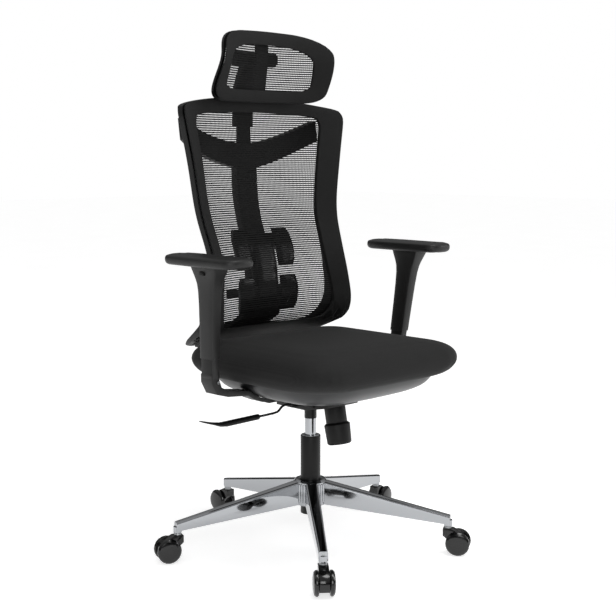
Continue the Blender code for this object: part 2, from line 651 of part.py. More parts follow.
def arm_bracket(name, side, parent):
    """Flat bar that hugs the shell's underside and turns up into the post."""
    gap = 0.0010
    low = 0.006
    path = [Vector((side * 0.120, 0, SHELL_BOTTOM - gap - low / 2)),
            Vector((side * 0.150, 0, SHELL_BOTTOM - gap - low / 2))]
    thicknesses = [low, low]
    profile = list(reversed(SHELL_SIDE))
    for i in range(1, len(profile) - 2):
        (inset, z), (inset_after, z_after) = profile[i], profile[i + 1]
        inset_before, z_before = profile[i - 1]
        run, rise = inset_before - inset_after, z_after - z_before
        length = hypot(run, rise)
        thick = low + 0.0012 * i
        out, down = rise / length, run / length
        reach = gap + thick / 2
        path.append(Vector((side * (SEAT_HALF_WIDTH - inset + out * reach), 0, z - down * reach)))
        thicknesses.append(thick)
    path.append(Vector((side * (ARM_HALF_SPACING - 0.0360), ARM_Y, 0.4225)))
    thicknesses.append(0.0130)
    path.append(Vector((side * (ARM_HALF_SPACING - 0.0115), ARM_Y + 0.002, 0.4320)))
    thicknesses.append(0.0200)
    for z in (0.453, 0.470):
        path.append(arm_centre(side, z))
        thicknesses.append(0.0220)
    bar = flat_bar(path, thicknesses, 0.0190, (0, 1, 0))
    obj = add(name, bar, "black_plastic", parent)
    half_x, half_y = SLEEVE_HALF_X - SLEEVE_WALL - FIT, SLEEVE_HALF_Y - SLEEVE_WALL - FIT
    post = loft([arm_ring(side, z, half_x, half_y, 0.005) for z in (0.460, POST_TOP)])
    boolean(obj, "UNION", post, parent)


def arm(name, side, parent, slide, press):
    """Height-adjusting arm: bracket on the seat, sleeve with pad on the slide, button in the sleeve."""
    arm_bracket(f"arm_bracket_{name}", side, parent)
    inner_x, inner_y = SLEEVE_HALF_X - SLEEVE_WALL, SLEEVE_HALF_Y - SLEEVE_WALL
    hollow = [arm_ring(side, z, inner_x, inner_y, 0.0055) for z in (0.672, SLEEVE_BOTTOM)]
    outer = [arm_ring(side, z, SLEEVE_HALF_X + extra_x, SLEEVE_HALF_Y + extra_y, 0.008)
             for z, extra_x, extra_y in ((SLEEVE_BOTTOM, 0, 0), (0.640, 0.001, 0.002), (0.672, 0.002, 0.006),
                                         (0.690, 0.005, 0.014), (SLEEVE_TOP, 0.010, 0.019))]
    sleeve = add(f"arm_sleeve_{name}", loft(hollow + outer), "soft_black", slide)
    centre = arm_centre(side, BUTTON_Z)
    face = centre.x + side * (SLEEVE_HALF_X + 0.0068)
    def button_box(grow, inner, outer_face):
        x0, x1 = sorted((face - side * inner, face + side * outer_face))
        return box((x0, centre.y - 0.007 - grow, BUTTON_Z - 0.004 - grow),
                   (x1, centre.y + 0.007 + grow, BUTTON_Z + 0.004 + grow))
    boolean(sleeve, "DIFFERENCE", button_box(GAP, 0.010 + GAP, 0.01), slide)
    add(f"arm_button_{name}", button_box(0, 0.010 - BUTTON_TRAVEL, 0.0030), "black_plastic", press)
    bottom = SLEEVE_TOP + GAP
    rings = []
    for inset, rise in ((0.008, 0), (0.002, 0.003), (0, 0.009), (0, 0.017), (0.003, 0.0205), (0.012, PAD_THICKNESS)):
        outline = rounded_rectangle(PAD_HALF_WIDTH - inset, PAD_HALF_LENGTH - inset, 0.030 - inset * 0.5, 4)
        rings.append([Vector((x + side * PAD_HALF_SPACING, y + PAD_MIDDLE_Y, bottom + rise)) for x, y in outline])
    add(f"arm_pad_{name}", loft(rings), "soft_black", slide)


# ------------------------------------------------------- panels of mesh fabric

class Panel:
    """A hollow-faced panel: its outline and the depth of its face over height."""

    def __init__(self, bottom, top, crown, half_widths, side_depths, hollows, flatness, corners, rows, crowding):
        self.bottom, self.top, self.crown, self.flatness = bottom, top, crown, flatness
        self.half_widths, self.side_depths, self.hollows = half_widths, side_depths, hollows
        self.corner_low, self.corner_high = corners
        self.rows, self.crowding = rows, crowding

    def face(self, x, z):
        """Depth (Y) of the mesh at a point of the panel."""
        share = min(abs(x) / along(self.half_widths, z), 1)
        return along(self.side_depths, z) + along(self.hollows, z) * (1 - share ** self.flatness)

    def point(self, s, t, insets, depth):
        """Point at (s, t) in -1..1, drawn in by (side, bottom, top, crown) insets and set back by a depth."""
        side, low, high, flatter = insets
        z_low = self.bottom + low
        z_high = self.top - (self.crown - flatter) * s * s - high
        z = z_low + (t + 1) / 2 * (z_high - z_low)
        x = s * (along(self.half_widths, z) - side)
        back = along(depth, z) if isinstance(depth, list) else depth
        return Vector((x, self.face(x, z) + back, z))

    def heights(self, low, high):
        """Places t from low to high, closer together towards the bottom, where the face turns."""
        return [low + (high - low) * share ** self.crowding for share in steps(0, 1, self.rows)]

    def rim(self, low, high, end_steps=12, round_steps=3):
        """(s, t) places around the edge of the unit square; low and high are its corners' radii."""
        quarter = steps(0, pi / 2, round_steps)[:-1]
        rising = self.heights(low - 1, 1 - high)
        places = [(s, -1) for s in steps(low - 1, 1 - low, end_steps)[:-1]]
        places += [(1 - low + low * sin(a), -1 + low - low * cos(a)) for a in quarter]
        places += [(1, t) for t in rising[:-1]]
        places += [(1 - high + high * cos(a), 1 - high + high * sin(a)) for a in quarter]
        places += [(s, 1) for s in steps(1 - high, high - 1, end_steps)[:-1]]
        places += [(high - 1 - high * sin(a), 1 - high + high * cos(a)) for a in quarter]
        places += [(-1, t) for t in reversed(rising[1:])]
        places += [(low - 1 - low * cos(a), -1 + low - low * sin(a)) for a in quarter]
        return places

    def ring(self, outer, inner, front, rear, lip=0.0, across=3):
        """Closed frame between two insets and two depths; the lip sets its outer front edge back."""
        rings = []
        outer_rim = self.rim(self.corner_low, self.corner_high)
        inner_rim = self.rim(self.corner_low * 1.15, self.corner_high * 1.15)
        shares = steps(0, 1, across)
        for (s, t), (s_in, t_in) in zip(outer_rim, inner_rim):
            inside = [along(inset, t_in) if isinstance(inset, list) else inset for inset in inner]
            def corner(share, depth):
                insets = [a + (b - a) * share for a, b in zip(outer, inside)]
                return self.point(s + (s_in - s) * share, t + (t_in - t) * share, insets, depth)
            fronts = [corner(share, front) for share in shares]
            rears = [corner(share, rear) for share in reversed(shares)]
            fronts[0].y += lip
            rings.append(fronts + rears)
        return loft(rings, around=True)

    def sheet(self, insets, front, rear, columns):
        """Thin sheet over the whole panel."""
        grid = []
        for t in self.heights(-1, 1):
            corner = self.corner_low if t < 0 else self.corner_high
            over = max(abs(t) - 1 + corner, 0)
            reach = 1 - corner + sqrt(max(corner ** 2 - over ** 2, 0)) if over else 1
            grid.append([(self.point(s * reach, t, insets, front), self.point(s * reach, t, insets, rear))
                         for s in steps(-1, 1, columns)])
        return slab(grid)


BACK = Panel(BACK_BOTTOM, BACK_TOP, BACK_CROWN,
             half_widths=[(0.487, 0.205), (0.53, 0.2165), (0.60, 0.2190), (0.66, 0.2120), (0.715, 0.2090),
                          (0.81, 0.2170), (0.93, 0.2340), (1.06, 0.2590)],
             side_depths=[(0.487, 0.218), (0.500, 0.199), (0.514, 0.167), (0.534, 0.124), (0.560, 0.098),
                          (0.60, 0.088), (0.66, 0.092), (0.715, 0.105), (0.81, 0.136), (0.93, 0.143), (1.087, 0.151)],
             hollows=[(0.487, 0.022), (0.53, 0.043), (0.60, 0.053), (0.75, 0.053), (0.90, 0.060), (1.087, 0.060)],
             flatness=4, corners=(0.16, 0.09), rows=22, crowding=1.5)
BACK_CLEARANCE = [(0.487, STEEP_GAP), (0.560, STEEP_GAP * 0.85), (0.620, PANEL_GAP + MESH_THICKNESS / 2)]
BACK_FRAME_DEPTH = [(0.487, 0.022), (0.52, 0.034), (0.56, 0.046), (0.60, 0.036), (0.70, 0.022)]

HEADREST = Panel(HEADREST_BOTTOM, HEADREST_TOP, 0.012,
                 half_widths=[(1.0725, 0.170), (1.105, 0.1785), (1.17, HEADREST_HALF_WIDTH), (1.24, 0.1665)],
                 side_depths=[(1.0725, 0.143), (1.10, 0.131), (1.17, 0.101), (1.22, 0.110), (1.24, 0.120)],
                 hollows=[(1.0725, 0.035), (1.17, 0.063), (1.24, 0.048)],
                 flatness=2.4, corners=(0.24, 0.44), rows=12, crowding=1.0)


def back(parent):
    """Frame, border and mesh of the back."""
    half_mesh = MESH_THICKNESS / 2
    border_rear = [(z, -clear) for z, clear in BACK_CLEARANCE]
    border_front = [(z, rear - BORDER_DEPTH) for z, rear in border_rear]
    edge = (0, 0, 0, 0)
    window = ([(-1, BORDER_WIDTH_LOW), (1, BORDER_WIDTH_HIGH)], 0.050, 0.038, 0.020)
    opening = (0.030, 0.040, 0.030, 0.010)
    add("back_frame", BACK.ring(edge, opening, BACK_CLEARANCE, BACK_FRAME_DEPTH), "black_plastic", parent)
    add("back_border", BACK.ring(edge, window, border_front, border_rear, lip=0.005), "black_fabric", parent)
    add("back_mesh", BACK.sheet((0.004, 0.004, 0.004, 0), -half_mesh, half_mesh, 20), "mesh_fabric", parent)


SPINE_LOW = 0.495
SPINE_HIGH = 0.960


def spine_front(z):
    """Depth of the spine's front behind the mesh: it clears the lower rail of the frame."""
    behind_rail = along(BACK_FRAME_DEPTH, z) + 0.004
    return along([(0.531, behind_rail), (0.552, 0.0240)], z)


def crossbar_middle(x):
    """Height of the crossbar's middle line, which rises to its ends."""
    return 0.944 + 0.063 * (abs(x) / CROSSBAR_REACH) ** 1.7


def spine(parent):
    """Upright column with the crossbar that reaches the frame's side rails."""
    widths = [(0.495, 0.056), (0.530, 0.0635), (0.600, 0.050), (0.680, 0.037), (0.770, 0.0325), (0.93, 0.0325)]
    rows = []
    for z in steps(SPINE_LOW, 0.565, 7)[:-1] + steps(0.565, SPINE_HIGH, 14):
        half = along(widths, z)
        row = []
        for x in steps(-half, half, 4):
            front = BACK.face(x, z) + spine_front(z)
            row.append((Vector((x, front, z)), Vector((x, front + SPINE_DEPTH, z))))
        rows.append(row)
    column = add("back_spine", slab(rows), "black_plastic", parent)
    rows = []
    for x in steps(-CROSSBAR_REACH, CROSSBAR_REACH, 18):
        half = 0.031 - 0.006 * abs(x) / CROSSBAR_REACH
        row = []
        for z in steps(crossbar_middle(x) - half, crossbar_middle(x) + half, 3):
            front = BACK.face(x, z) + 0.0227
            row.append((Vector((x, front, z)), Vector((x, front + SPINE_DEPTH + 0.003, z))))
        rows.append(row)
    boolean(column, "UNION", slab(rows), parent)
    half_x, half_y = TONGUE_HALF_WIDTH + FIT, TONGUE_THICKNESS / 2 + FIT
    slot = box((-half_x, TONGUE_Y - half_y, 0.873), (half_x, TONGUE_Y + half_y, 1.02))
    boolean(column, "DIFFERENCE", slot, parent)


def back_support(parent):
    """Bar that carries the spine from under the seat, and the cover behind it."""
    def spine_rear(z):
        return BACK.face(0, z) + spine_front(z) + SPINE_DEPTH

    def behind_spine(z):
        slope = (spine_rear(z + 0.005) - spine_rear(z - 0.005)) / 0.010
        return spine_rear(z) + (BAR_THICKNESS / 2 + 0.0042) * sqrt(1 + slope ** 2)

    under = PLATE_BOTTOM + PLATE_THICKNESS - BAR_THICKNESS / 2
    path = [Vector((0, TRAY_REAR + 0.0025, under)), Vector((0, 0.170, under)), Vector((0, 0.215, 0.3955)),
            Vector((0, 0.255, 0.4130)), Vector((0, 0.2805, 0.4420)), Vector((0, 0.2870, 0.4720))]
    path += [Vector((0, behind_spine(z), z)) for z in (0.498, 0.511, 0.524)]
    add("back_bar", flat_bar(path, BAR_THICKNESS, BAR_HALF_WIDTH, (1, 0, 0)), "black_steel", parent)
    cover = 0.008
    shift = (BAR_THICKNESS + cover) / 2 + FIT
    covered = path[2:]
    outer = []
    for point in covered:
        normal = Vector((1, 0, 0)).cross(tangent_of(path, point)).normalized()
        outer.append(point - normal * shift)
    add("back_bar_cover", flat_bar(outer, cover, BAR_HALF_WIDTH + 0.008, (1, 0, 0)), "black_plastic", parent)


# --------------------------------------------------------------------- lumbar

LUMBAR_FRONT = 0.0035
LUMBAR_FRONTS = [(0.566, 0.0068), (0.602, LUMBAR_FRONT)]  # more at the low end, where the mesh turns back
SLIDER_MARGIN = 0.0035  # to the spine, whose front curves along the slider's way


def lumbar_plate(x_low, x_high, z_low, z_high, columns, rows, round_outer=0.0):
    """Plate just behind the mesh; its outer corners may be drawn in."""
    grid = []
    for z in steps(z_low, z_high, rows):
        share = abs(2 * (z - z_low) / (z_high - z_low) - 1)
        outer = x_high - round_outer * share ** 3 * (1 if x_high > 0 else -1)
        row = []
        for x in steps(x_low, outer, columns):
            front = BACK.face(x, z) + along(LUMBAR_FRONTS, z)
            row.append((Vector((x, front, z)), Vector((x, front + LUMBAR_THICKNESS, z))))
        grid.append(row)
    return slab(grid)


def lumbar(parent):
    """Two-winged support behind the mesh, on a carriage that slides on the spine."""
    pad = add("lumbar_pad", lumbar_plate(-0.030, 0.030, 0.578, 0.757, 4, 6), "soft_black", parent)
    wings = []
    for side in (-1, 1):
        wings.append(lumbar_plate(side * 0.043, side * LUMBAR_REACH, 0.6755, 0.768, 3, 6, 0.010))
        wings.append(lumbar_plate(side * 0.043, side * LUMBAR_REACH, 0.566, 0.653, 3, 6, 0.008))
    boolean(pad, "UNION", joined(*wings), parent)
    arms = []
    for side in (-1, 1):
        for low, high, near, far in ((0.716, 0.754, 0.020, 0.055), (0.582, 0.632, 0.020, 0.055)):
            grid = []
            for z in (low, high):
                row = []
                for x in steps(side * near, side * far, 2):
                    front = BACK.face(x, z) + along(LUMBAR_FRONTS, z) + 0.0015
                    row.append((Vector((x, front, z)), Vector((x, front + LUMBAR_THICKNESS - 0.003, z))))
                grid.append(row)
            arms.append(slab(grid))
    boolean(pad, "UNION", joined(*arms), parent)
    near = LUMBAR_FRONT + LUMBAR_THICKNESS + 0.0012
    rows = []
    for z in steps(0.607, 0.737, 8):
        row = []
        for x in steps(-0.040, 0.040, 4):
            face = BACK.face(x, z)
            row.append((Vector((x, face + near, z)), Vector((x, face + spine_front(z) - SLIDER_MARGIN, z))))
        rows.append(row)
    slider = add("lumbar_slider", slab(rows), "black_plastic", parent)
    tab_y = BACK.face(0, 0.614) + (near + spine_front(0.614) - SLIDER_MARGIN) / 2
    tabs = []
    for side in (-1, 1):
        path = [Vector((side * x, tab_y + back, 0.614))
                for x, back in ((0.036, 0), (0.062, 0.001), (0.082, 0.016), (0.098, 0.034))]
        tabs.append(flat_bar(path, 0.0045, 0.0105, (0, 0, 1)))
    boolean(slider, "UNION", joined(*tabs), parent)


# -------------------------------------------------------------------- headrest

def headrest_post(parent):
    """Upright with a tongue in the spine's slot and a knuckle on the hinge."""
    tongue = box((-TONGUE_HALF_WIDTH, TONGUE_Y - TONGUE_THICKNESS / 2, 0.8745),
                 (TONGUE_HALF_WIDTH, TONGUE_Y + TONGUE_THICKNESS / 2, 1.095))
    obj = add("headrest_post", tongue, "black_plastic", parent)
    path = [Vector((0, TONGUE_Y + 0.002, 1.015)), Vector((0, TONGUE_Y + 0.002, 1.090)), Vector((0, 0.2320, 1.115)),
            Vector((0, 0.2150, 1.150)), Vector((0, HINGE_Y + 0.004, HINGE_Z))]
    upper = flat_bar(path, [0.0085, 0.010, 0.013, 0.016, 0.016], POST_HALF_WIDTH, (1, 0, 0))
    boolean(obj, "UNION", upper, parent)
    knuckle = turned([(HINGE_RADIUS, -POST_HALF_WIDTH + 0.0007), (HINGE_RADIUS, POST_HALF_WIDTH - 0.0007)], 24)
    boolean(obj, "UNION", about_x(knuckle, (0, HINGE_Y, HINGE_Z)), parent)
    bore = turned([(0.008 + FIT, -0.06), (0.008 + FIT, 0.06)], 20)
    boolean(obj, "DIFFERENCE", about_x(bore, (0, HINGE_Y, HINGE_Z)), parent)


def headrest(parent):
    """Hinge drums, frame, border and mesh of the headrest."""
    inner = POST_HALF_WIDTH + FIT
    hinge = turned([(HINGE_RADIUS - 0.001, -HINGE_HALF_LENGTH), (HINGE_RADIUS, 0.001 - HINGE_HALF_LENGTH),
                    (HINGE_RADIUS, -inner), (0.008, -inner), (0.008, inner), (HINGE_RADIUS, inner),
                    (HINGE_RADIUS, HINGE_HALF_LENGTH - 0.001), (HINGE_RADIUS - 0.001, HINGE_HALF_LENGTH)], 24)
    add("headrest_hinge", about_x(hinge, (0, HINGE_Y, HINGE_Z)), "black_plastic", parent)
    half_mesh = MESH_THICKNESS / 2
    clear = half_mesh + PANEL_GAP * 1.35
    edge = (0, 0, 0, 0)
    window = (HEADREST_BORDER, 0.028, 0.033, 0.004)
    frame = HEADREST.ring(edge, (0.016, 0.016, 0.014, 0), clear, 0.012, across=2)
    obj = add("headrest_frame", frame, "black_plastic", parent)
    rows = []
    for z in steps(HEADREST_BOTTOM + 0.010, HEADREST_TOP - 0.010, 6):
        row = []
        for x in steps(-0.019, 0.019, 2):
            front = HEADREST.face(x, z) + 0.0025
            row.append((Vector((x, front, z)), Vector((x, front + 0.0075, z))))
        rows.append(row)
    boolean(obj, "UNION", slab(rows), parent)
    border = HEADREST.ring(edge, window, -clear - HEADREST_BORDER_DEPTH, -clear, lip=0.003, across=2)
    add("headrest_border", border, "black_fabric", parent)
    add("headrest_mesh", HEADREST.sheet((0.003, 0.003, 0.003, 0), -half_mesh, half_mesh, 12),
        "mesh_fabric", parent)


# -------------------------------------------------------------------- assembly

def build():
    """Make the joints' empties from the floor up, and hang every piece on them."""
    clear_scene()
    base = empty("base", (0, 0, 0))
    base_star(base)
    for index, angle in enumerate(leg_angles()):
        place = (STEM_CIRCLE_RADIUS * cos(angle), STEM_CIRCLE_RADIUS * sin(angle), 0)
        swivel = empty(f"caster_swivel_{index + 1}", place, base)
        caster(index + 1, angle, swivel)
    lift = empty("lift", (0, 0, TUBE_TOP), base)
    gas_lift(base, lift)
    under_seat = empty("mechanism", (0, 0, COLLAR_BOTTOM), lift)
    tilting = empty("tilt_axis", (0, TILT_AXIS_Y, TILT_AXIS_Z), under_seat)
    mechanism(under_seat, tilting)
    knob = empty("knob_axis", KNOB_AXIS_TOP, under_seat)
    tension_control(under_seat, knob)
    rocker = empty("rocker_axis", LEVER_PIVOT, under_seat)
    handle = empty("lever_slide", LEVER_PIVOT, rocker)
    lever(rocker, handle)
    seat(tilting)
    for name, side in (("left", 1), ("right", -1)):
        slide = empty(f"arm_slide_{name}", arm_centre(side, SLEEVE_BOTTOM), tilting)
        press = empty(f"arm_press_{name}", arm_centre(side, BUTTON_Z), slide)
        arm(name, side, tilting, slide, press)
    back(tilting)
    spine(tilting)
    back_support(tilting)
    lumbar(empty("lumbar_slide", (0, 0.2, 0.6), tilting))
    post = empty("headrest_slide", (0, TONGUE_Y, SPINE_HIGH), tilting)
    headrest_post(post)
    headrest(empty("headrest_axis", (0, HINGE_Y, HINGE_Z), post))


build()
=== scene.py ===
"""Looks of a swivel office chair with a mesh back: finishes, nets, cushion and small details."""

import json
from math import cos, pi, radians, sin

import bpy
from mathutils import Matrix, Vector
from mathutils.bvhtree import BVHTree


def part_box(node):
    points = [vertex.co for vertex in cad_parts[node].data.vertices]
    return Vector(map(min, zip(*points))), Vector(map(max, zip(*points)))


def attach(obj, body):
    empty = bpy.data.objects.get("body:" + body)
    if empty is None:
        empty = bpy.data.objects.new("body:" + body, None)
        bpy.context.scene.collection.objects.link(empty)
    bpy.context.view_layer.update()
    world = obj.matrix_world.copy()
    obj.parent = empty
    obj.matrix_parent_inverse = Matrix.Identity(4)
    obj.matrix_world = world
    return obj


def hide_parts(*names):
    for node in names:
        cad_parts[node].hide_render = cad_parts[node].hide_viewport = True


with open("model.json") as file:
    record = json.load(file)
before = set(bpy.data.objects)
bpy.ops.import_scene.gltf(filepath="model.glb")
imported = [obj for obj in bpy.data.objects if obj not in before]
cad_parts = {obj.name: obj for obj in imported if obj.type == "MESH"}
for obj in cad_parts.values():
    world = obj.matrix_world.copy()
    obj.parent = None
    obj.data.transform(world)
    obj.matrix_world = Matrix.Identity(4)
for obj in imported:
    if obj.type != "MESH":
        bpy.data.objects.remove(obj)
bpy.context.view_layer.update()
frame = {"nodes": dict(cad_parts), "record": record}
NODES = frame["nodes"]
BODY_OF = {node: body for body, group in frame["record"]["behaviour"]["bodies"].items() for node in group}

SMALL = 1e-5  # metres; points nearer than this are one point


# ------------------------------------------------------------------ camera

CAMERA_TARGET = Vector((-0.0045, -0.0245, 0.5732))
CAMERA_PLACE = Vector((-1.9547, -2.0437, 0.9337))
CAMERA_LENS = 69.95     # mm, on a 36 mm wide sensor
CAMERA_SHIFT = -0.0041  # share of the picture's width


def place_camera():
    """Camera at a standing person's distance, a little above the seat."""
    data = bpy.data.cameras.new("camera")
    data.lens, data.sensor_width, data.shift_x = CAMERA_LENS, 36.0, CAMERA_SHIFT
    camera = bpy.data.objects.new("camera", data)
    camera.location = CAMERA_PLACE
    camera.rotation_euler = (CAMERA_TARGET - CAMERA_PLACE).to_track_quat("-Z", "Y").to_euler()
    bpy.context.scene.collection.objects.link(camera)
    bpy.context.scene.camera = camera


# --------------------------------------------------------------- materials

def linear(hex_colour):
    """Linear RGBA of an sRGB hex colour."""
    parts = [int(hex_colour[i:i + 2], 16) / 255 for i in (1, 3, 5)]
    return [p / 12.92 if p <= 0.04045 else ((p + 0.055) / 1.055) ** 2.4 for p in parts] + [1.0]


def add_node(tree, kind, links=None, values=None, **settings):
    """Add one node: its settings, its sockets' values, and the outputs linked to its sockets."""
    made = tree.nodes.new(kind)
    for name, value in settings.items():
        setattr(made, name, value)
    for socket, value in (values or {}).items():
        made.inputs[socket].default_value = value
    for socket, output in (links or {}).items():
        tree.links.new(output, made.inputs[socket])
    return made


def new_material(name, colour, roughness, **sockets):
    """Material with one Principled shader; returns the material, its tree and the shader."""
    material = bpy.data.materials.new(name)
    material.use_nodes = True
    tree = material.node_tree
    shader = tree.nodes["Principled BSDF"]
    shader.inputs["Base Color"].default_value = linear(colour)
    shader.inputs["Roughness"].default_value = roughness
    for socket, value in sockets.items():
        shader.inputs[socket.replace("_", " ").title().replace("Ior", "IOR")].default_value = value
    return material, tree, shader


def object_coordinates(tree):
    """Output of the piece's own coordinates, in metres."""
    return add_node(tree, "ShaderNodeTexCoord").outputs["Object"]


def mottle(tree, shader, dark, light, size, detail=3.0):
    """Colour that drifts between two tones over patches of a size in metres."""
    noise = add_node(tree, "ShaderNodeTexNoise", {"Vector": object_coordinates(tree)},
                     {"Scale": 1 / size, "Detail": detail})
    ramp = add_node(tree, "ShaderNodeValToRGB", {"Fac": noise.outputs["Fac"]})
    ramp.color_ramp.elements[0].position, ramp.color_ramp.elements[1].position = 0.3, 0.7
    ramp.color_ramp.elements[0].color = linear(dark)
    ramp.color_ramp.elements[1].color = linear(light)
    tree.links.new(ramp.outputs["Color"], shader.inputs["Base Color"])


def varied_roughness(tree, shader, low, high, size):
    """Roughness that drifts between two values over patches of a size in metres."""
    noise = add_node(tree, "ShaderNodeTexNoise", {"Vector": object_coordinates(tree)},
                     {"Scale": 1 / size, "Detail": 4.0})
    spread = add_node(tree, "ShaderNodeMapRange", {"Value": noise.outputs["Fac"]},
                      {"From Min": 0.3, "From Max": 0.7, "To Min": low, "To Max": high})
    tree.links.new(spread.outputs["Result"], shader.inputs["Roughness"])


def grain(tree, shader, size, depth, strength=0.4):
    """Moulded or sprayed grain, given its size and depth in metres."""
    noise = add_node(tree, "ShaderNodeTexNoise", {"Vector": object_coordinates(tree)},
                     {"Scale": 1 / size, "Detail": 2.0})
    bump = add_node(tree, "ShaderNodeBump", {"Height": noise.outputs["Fac"]},
                    {"Distance": depth, "Strength": strength})
    tree.links.new(bump.outputs["Normal"], shader.inputs["Normal"])


def weave(tree, shader, pitch, depth, dark, light):
    """Plain weave: threads across and threads up the cloth, with a tone for the thread and one between."""
    place = object_coordinates(tree)
    across = add_node(tree, "ShaderNodeTexWave", {"Vector": place}, {"Scale": 0.314 / pitch, "Distortion": 0.4},
                      bands_direction="X")
    turned = add_node(tree, "ShaderNodeMapping", {"Vector": place}, {"Rotation": (radians(45), 0, 0)})
    up = add_node(tree, "ShaderNodeTexWave", {"Vector": turned.outputs["Vector"]},
                  {"Scale": 0.314 / pitch, "Distortion": 0.4}, bands_direction="Z")
    both = add_node(tree, "ShaderNodeMath", {0: across.outputs["Fac"], 1: up.outputs["Fac"]},
                    operation="MULTIPLY")
    cloth = add_node(tree, "ShaderNodeTexNoise", {"Vector": place}, {"Scale": 28.0, "Detail": 5.0})
    mixed = add_node(tree, "ShaderNodeMath", {0: both.outputs["Value"], 1: cloth.outputs["Fac"]},
                     operation="MULTIPLY")
    ramp = add_node(tree, "ShaderNodeValToRGB", {"Fac": mixed.outputs["Value"]})
    ramp.color_ramp.elements[0].color = linear(dark)
    ramp.color_ramp.elements[1].position = 0.5
    ramp.color_ramp.elements[1].color = linear(light)
    tree.links.new(ramp.outputs["Color"], shader.inputs["Base Color"])
    bump = add_node(tree, "ShaderNodeBump", {"Height": both.outputs["Value"]},
                    {"Distance": depth, "Strength": 0.5})
    tree.links.new(bump.outputs["Normal"], shader.inputs["Normal"])


def make_materials():
    """Every finish of the chair, by name."""
    made = {}

    # Pressed steel, polished and chromium plated: a mirror with the faintest waviness.
    chrome, tree, shader = new_material("chromium_plated_steel", "#a4a6a9", 0.05, metallic=1.0)
    varied_roughness(tree, shader, 0.03, 0.09, 0.06)
    made["chrome"] = chrome

    # Zinc plated or bare turned steel: grey, with a soft brushed shine.
    steel, tree, shader = new_material("zinc_plated_steel", "#a9abad", 0.3, metallic=1.0)
    varied_roughness(tree, shader, 0.22, 0.4, 0.01)
    made["steel"] = steel

    # Steel under satin black powder coat: soft shine over a fine orange peel of about 1.5 mm.
    coated, tree, shader = new_material("powder_coated_steel", "#060606", 0.38, specular_ior_level=0.25)
    grain(tree, shader, 0.0015, 0.0001)
    made["coated_steel"] = coated

    # Glass filled nylon, moulded with a fine spark texture: near black, dull.
    nylon, tree, shader = new_material("moulded_black_nylon", "#080808", 0.5, specular_ior_level=0.25)
    mottle(tree, shader, "#060606", "#0a0a0a", 0.02)
    grain(tree, shader, 0.0012, 0.00008)
    made["nylon"] = nylon

    # The same nylon from a polished mould, as on the casters and the lumbar support.
    gloss, tree, shader = new_material("polished_black_nylon", "#060606", 0.14)
    varied_roughness(tree, shader, 0.1, 0.2, 0.008)
    made["gloss_nylon"] = gloss

    # Polypropylene seat shell: mid grey with a satin face.
    shell, tree, shader = new_material("grey_polypropylene", "#3d3e3f", 0.38)
    mottle(tree, shader, "#161718", "#1b1c1d", 0.05)
    grain(tree, shader, 0.0014, 0.00006)
    made["shell"] = shell

    # Soft touch polyurethane of the arms: dark grey with a broad, dull shine.
    soft, tree, shader = new_material("soft_touch_polyurethane", "#262626", 0.46, specular_ior_level=0.35)
    mottle(tree, shader, "#141414", "#191919", 0.03)
    grain(tree, shader, 0.0014, 0.00007)
    made["soft"] = soft

    # Knitted polyester cover of the seat; its 0.8 mm stitch is drawn at 2.4 mm so that it shows.
    cover, tree, shader = new_material("knitted_polyester_cover", "#141414", 0.8, sheen_weight=0.03,
                                       sheen_roughness=0.4, specular_ior_level=0.35)
    weave(tree, shader, 0.0024, 0.00012, "#0b0b0b", "#171717")
    made["cover"] = cover

    # Woven polyester band over the rims of the back and the headrest.
    band, tree, shader = new_material("woven_polyester_band", "#0b0b0b", 0.8, specular_ior_level=0.25)
    weave(tree, shader, 0.0020, 0.0001, "#101010", "#1e1e1e")
    made["band"] = band

    # Monofilament yarn of the nets: black, with a slight plastic shine along each thread.
    yarn, tree, shader = new_material("net_yarn", "#0d0d0d", 0.6, specular_ior_level=0.15)
    mottle(tree, shader, "#060606", "#0c0c0c", 0.006)
    made["yarn"] = yarn

    # Light grey polished nylon lines on the lumbar support: a painted highlight, their pale colour standing in
    # for the light caught by the glossy paddle edges.
    piping, tree, shader = new_material("grey_nylon_painted_highlight", "#8c8c8c", 0.2)
    varied_roughness(tree, shader, 0.15, 0.28, 0.008)
    made["piping"] = piping

    # Birch plywood of the seat board.
    plywood, tree, shader = new_material("birch_plywood", "#c2a276", 0.6)
    mottle(tree, shader, "#b08e60", "#cdb089", 0.012)
    made["plywood"] = plywood
    return made


# ------------------------------------------------------------- shape tools

def activate(obj):
    """Select one object alone and make it active."""
    bpy.ops.object.select_all(action="DESELECT")
    obj.select_set(True)
    bpy.context.view_layer.objects.active = obj


def modify(obj, kind, **settings):
    """Add a modifier, give it its settings and apply it."""
    activate(obj)
    modifier = obj.modifiers.new(kind.lower(), kind)
    for name, value in settings.items():
        setattr(modifier, name, value)
    bpy.ops.object.modifier_apply(modifier=modifier.name)


def copy_of(node, name):
    """One joined surface with a CAD node's shape, its flat faces whole again."""
    piece = bpy.data.objects.new(name, NODES[node].data.copy())
    bpy.context.scene.collection.objects.link(piece)
    piece.data.materials.clear()
    activate(piece)
    bpy.ops.mesh.customdata_custom_splitnormals_clear()
    bpy.ops.object.mode_set(mode="EDIT")
    bpy.ops.mesh.select_all(action="SELECT")
    bpy.ops.mesh.remove_doubles(threshold=SMALL)
    bpy.ops.mesh.tris_convert_to_quads(face_threshold=radians(40), shape_threshold=radians(40))
    bpy.ops.object.mode_set(mode="OBJECT")
    return piece


def put_on(piece, node, material):
    """Give a piece its finish, and let it ride with a CAD node's body."""
    piece.data.materials.clear()
    piece.data.materials.append(material)
    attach(piece, BODY_OF[node])
    return piece


